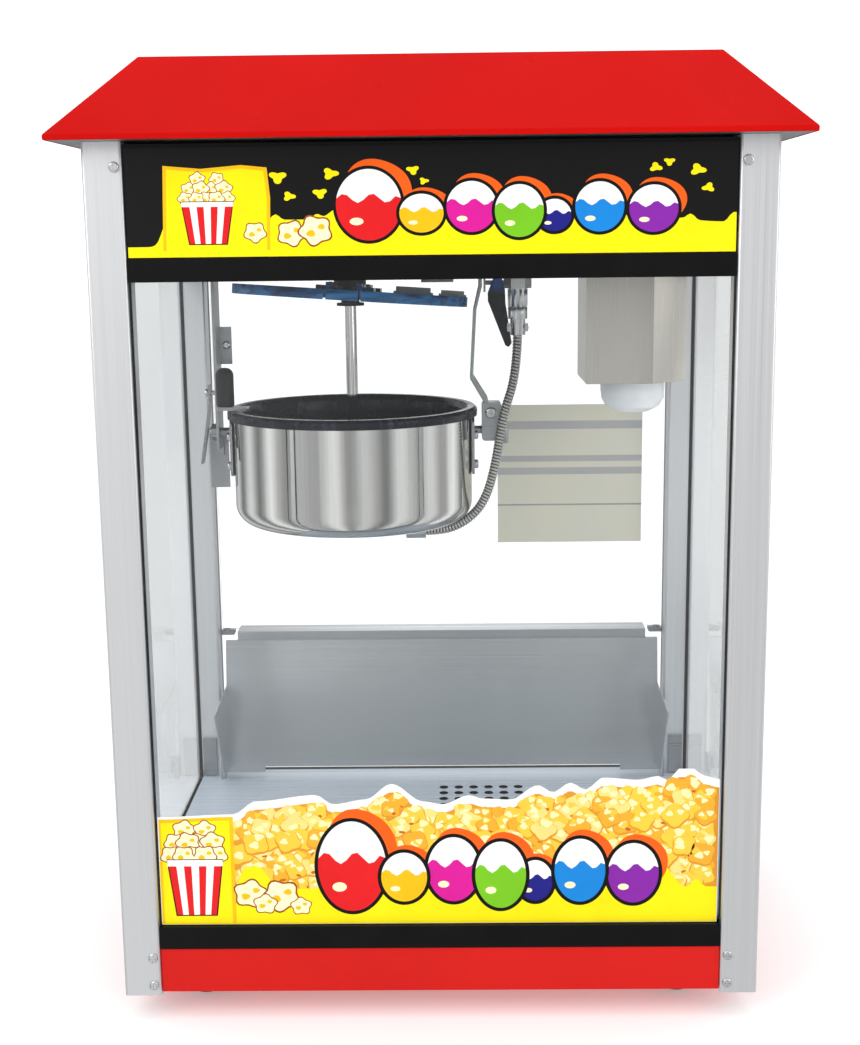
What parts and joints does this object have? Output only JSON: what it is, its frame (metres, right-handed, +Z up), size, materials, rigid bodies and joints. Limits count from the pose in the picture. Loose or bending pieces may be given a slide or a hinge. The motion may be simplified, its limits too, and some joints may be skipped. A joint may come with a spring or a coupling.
{
  "type": "popcorn maker",
  "caption": "Counter-top popcorn cabinet with pitched roof, glazed sides, tilting stirred kettle, raised lid, warming lamp, rear doors, serving flap and kernel drawer.",
  "frame": {"origin": "centre of the footprint, on the surface the feet stand on", "axes": "+Z up, front (the decorated glass) towards -Y, operator's doors towards +Y, +X to the right seen from the front"},
  "size_m": [0.56, 0.421, 0.766],
  "materials": {
    "roof_red": "gloss red enamel",
    "base_red": "gloss red enamel",
    "black_panel": "satin black",
    "black_trim": "satin black moulding",
    "zinc": "plain galvanised sheet",
    "post": "silver anodised extrusion",
    "steel": "brushed",
    "polished": "polished stainless steel",
    "screw": "bright zinc",
    "glass": "clear tempered",
    "acrylic": "clear acrylic",
    "lamp_glass": "frosted",
    "print": "printed film",
    "label": "printed film",
    "gasket": "matt",
    "foot": "matt",
    "floor": "satin",
    "motor": "satin grey",
    "ceramic": "glazed",
    "nonstick": "satin non-stick coating",
    "plastic_black": "semi-gloss",
    "film_blue": "steel under blue protective film",
    "brass": "turned",
    "rocker": "gloss"
  },
  "bodies": {
    "cabinet": {"roof_cover": "roof_red", "roof_frame": "zinc", "corner_posts": "post", "post_screws": "screw", "rubber_feet": "foot", "base_panels": "base_red", "glazing_rails": "black_trim", "header_panels": "black_panel", "header_graphic": "print", "ceiling_plate": "steel", "front_glass": "glass", "side_glasses": "glass", "gaskets": "gasket", "glass_decal": "print", "floor_plate": "floor", "stir_motor": "motor", "shaft_bushing": "brass", "lamp_housing": "steel", "lamp_socket": "ceramic", "lamp_dome": "lamp_glass", "hanger_left": "steel", "hanger_right": "steel", "pivot_block": "steel", "hanger_bolts": "screw", "lever_bracket": "steel", "cable_socket": "plastic_black", "cable_plug": "screw", "kettle_cable": "polished", "door_hardware": "steel", "flap_pivots": "steel", "switch_panel": "plastic_black", "cord_gland": "plastic_black"},
    "drive": {"drive_shaft": "polished"},
    "kettle": {"kettle_shell": "polished", "kettle_pot": "nonstick", "heating_element": "steel", "kettle_ears": "steel", "ear_bolts": "screw", "handle_arm": "steel", "handle_grip": "plastic_black", "cable_gland": "screw"},
    "stirring_arm": {"stirrer": "steel"},
    "lid_collar": {"lid_clip": "plastic_black"},
    "lid_frame": {"lid_bridge": "film_blue"},
    "lid_left": {"lid_flap_left": "film_blue"},
    "lid_right": {"lid_flap_right": "film_blue", "lid_straps": "steel"},
    "lever": {"latch_lever": "plastic_black"},
    "latch": {"side_latch": "steel"},
    "door_l": {"door_left": "acrylic", "door_left_fittings": "screw"},
    "door_r": {"door_right": "acrylic", "door_right_fittings": "screw", "door_label": "label"},
    "flap": {"serving_flap": "steel"},
    "drawer": {"kernel_drawer": "steel"},
    "switch_a": {"rocker_motor": "rocker"},
    "switch_b": {"rocker_heat": "rocker"},
    "switch_c": {"rocker_lamp": "rocker"}
  },
  "joints": [
    {"name": "drive_spin", "type": "hinge", "parent": "cabinet", "child": "drive", "pos_m": [-0.074, 0, 0.6], "axis": [0, 0, 1], "continuous": true},
    {"name": "kettle_tilt", "type": "hinge", "parent": "cabinet", "child": "kettle", "pos_m": [0, 0, 0.462], "axis": [1, 0, 0], "range_deg": [0, 70], "deforming": ["kettle_cable"]},
    {"name": "stirrer_spin", "type": "hinge", "parent": "kettle", "child": "stirring_arm", "pos_m": [-0.074, 0, 0.43], "axis": [0, 0, 1], "continuous": true},
    {"name": "lid_slide", "type": "slide", "parent": "cabinet", "child": "lid_collar", "axis": [0, 0, 1], "range_m": [-0.079, 0]},
    {"name": "lid_rock", "type": "hinge", "parent": "lid_collar", "child": "lid_frame", "pos_m": [-0.074, 0, 0.581], "axis": [0, 1, 0], "range_deg": [-8, 0]},
    {"name": "lid_left_open", "type": "hinge", "parent": "lid_frame", "child": "lid_left", "pos_m": [-0.08595, 0.00032, 0.58935], "axis": [0, 0.9993, -0.0384], "range_deg": [0, 20]},
    {"name": "lid_right_open", "type": "hinge", "parent": "lid_frame", "child": "lid_right", "pos_m": [-0.06101, 0.00025, 0.5876], "axis": [0, -0.9993, 0.0384], "range_deg": [0, 20]},
    {"name": "lever_swing", "type": "hinge", "parent": "cabinet", "child": "lever", "pos_m": [0.056, 0.018, 0.59], "axis": [1, 0, 0], "range_deg": [0, 60]},
    {"name": "latch_swing", "type": "hinge", "parent": "cabinet", "child": "latch", "pos_m": [-0.1997, 0, 0.497], "axis": [-1, 0, 0], "range_deg": [0, 30]},
    {"name": "door_left_swing", "type": "hinge", "parent": "cabinet", "child": "door_l", "pos_m": [-0.222, 0.186, 0.41], "axis": [0, 0, 1], "range_deg": [0, 110]},
    {"name": "door_right_swing", "type": "hinge", "parent": "cabinet", "child": "door_r", "pos_m": [0.222, 0.186, 0.41], "axis": [0, 0, -1], "range_deg": [0, 110]},
    {"name": "flap_tilt", "type": "hinge", "parent": "cabinet", "child": "flap", "pos_m": [0, 0.154, 0.096], "axis": [-1, 0, 0], "range_deg": [0, 35]},
    {"name": "drawer_slide", "type": "slide", "parent": "cabinet", "child": "drawer", "axis": [0, 1, 0], "range_m": [0, 0.15]},
    {"name": "rocker_motor_press", "type": "hinge", "parent": "cabinet", "child": "switch_a", "pos_m": [-0.045, 0.182, 0.652], "axis": [-1, 0, 0], "range_deg": [0, 16]},
    {"name": "rocker_heat_press", "type": "hinge", "parent": "cabinet", "child": "switch_b", "pos_m": [0, 0.182, 0.652], "axis": [-1, 0, 0], "range_deg": [0, 16]},
    {"name": "rocker_lamp_press", "type": "hinge", "parent": "cabinet", "child": "switch_c", "pos_m": [0.045, 0.182, 0.652], "axis": [-1, 0, 0], "range_deg": [0, 16]}
  ],
  "couplings": [
    {"joint": "stirrer_spin", "follows": "drive_spin", "ratio": 1}
  ]
}
